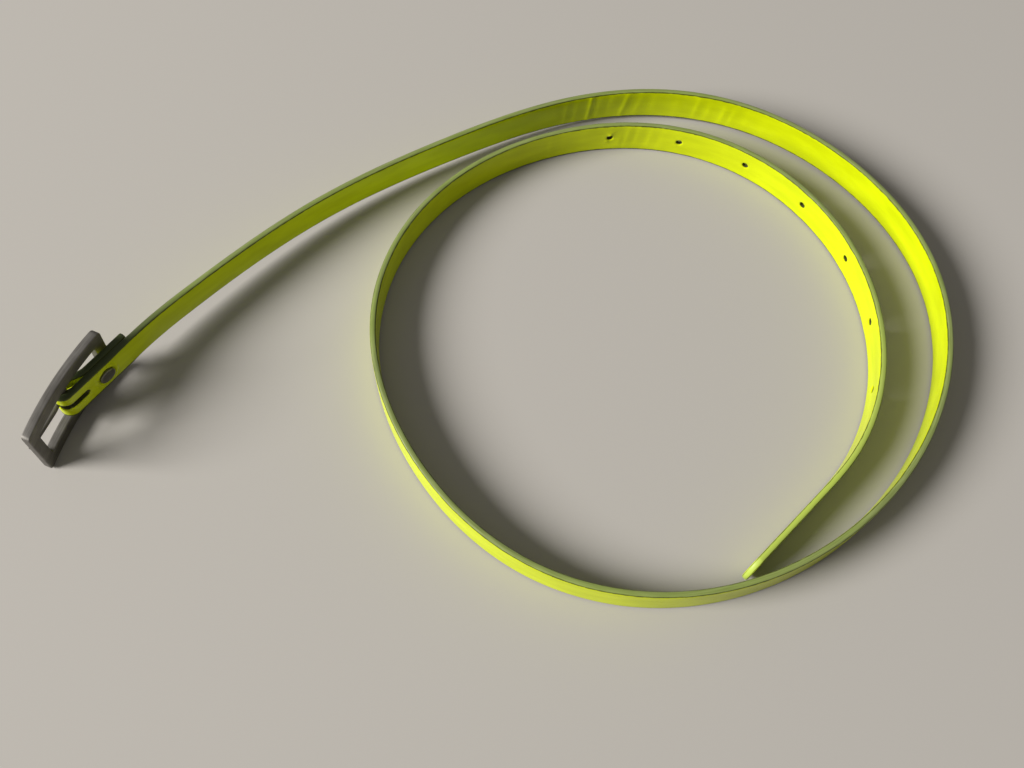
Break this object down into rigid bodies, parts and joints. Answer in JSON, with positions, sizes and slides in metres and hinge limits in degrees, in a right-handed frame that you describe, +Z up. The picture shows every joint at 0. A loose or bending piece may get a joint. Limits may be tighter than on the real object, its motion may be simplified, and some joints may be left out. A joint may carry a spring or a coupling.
{
  "type": "buckled strap belt",
  "caption": "Narrow glossy yellow belt with punched holes, painted edges and a bowed rectangular centre-bar buckle with prong, loosely coiled and standing on its edge.",
  "frame": {"origin": "on the floor under the middle of the bounding box of the coiled belt and its buckle", "axes": "+Z up, across the strap's width; +X along the longest extent, from the buckle towards the far side of the coil; +Y to the left of that, seen from above"},
  "size_m": [0.2779, 0.1831, 0.0248],
  "materials": {
    "patent_face": "high-gloss fluorescent yellow patent coating",
    "core": "bonded leather board, hidden between the two skins",
    "edge_paint": "matte grey-green edge paint",
    "gunmetal": "brushed gunmetal plating on cast alloy",
    "rivet_metal": "dark gunmetal plating"
  },
  "bodies": {
    "strap": {"strap_outer_skin": "patent_face", "strap_core": "core", "strap_inner_skin": "patent_face", "edge_paint_upper": "edge_paint", "edge_paint_lower": "edge_paint", "edge_paint_tip": "edge_paint", "edge_paint_fold_end": "edge_paint", "rivet_post": "rivet_metal", "rivet_cap": "rivet_metal"},
    "buckle": {"buckle_frame": "gunmetal", "buckle_bar": "gunmetal"},
    "prong": {"prong": "gunmetal"}
  },
  "joints": [
    {"name": "frame_swing", "type": "hinge", "parent": "strap", "child": "buckle", "pos_m": [-0.1318, -0.0421, 0.01252], "axis": [0.1245, -0.0392, 0.9914], "range_deg": [-2, 110]},
    {"name": "prong_swing", "type": "hinge", "parent": "buckle", "child": "prong", "pos_m": [-0.1318, -0.0421, 0.01252], "axis": [-0.1245, 0.0392, -0.9914], "range_deg": [0, 100]}
  ]
}
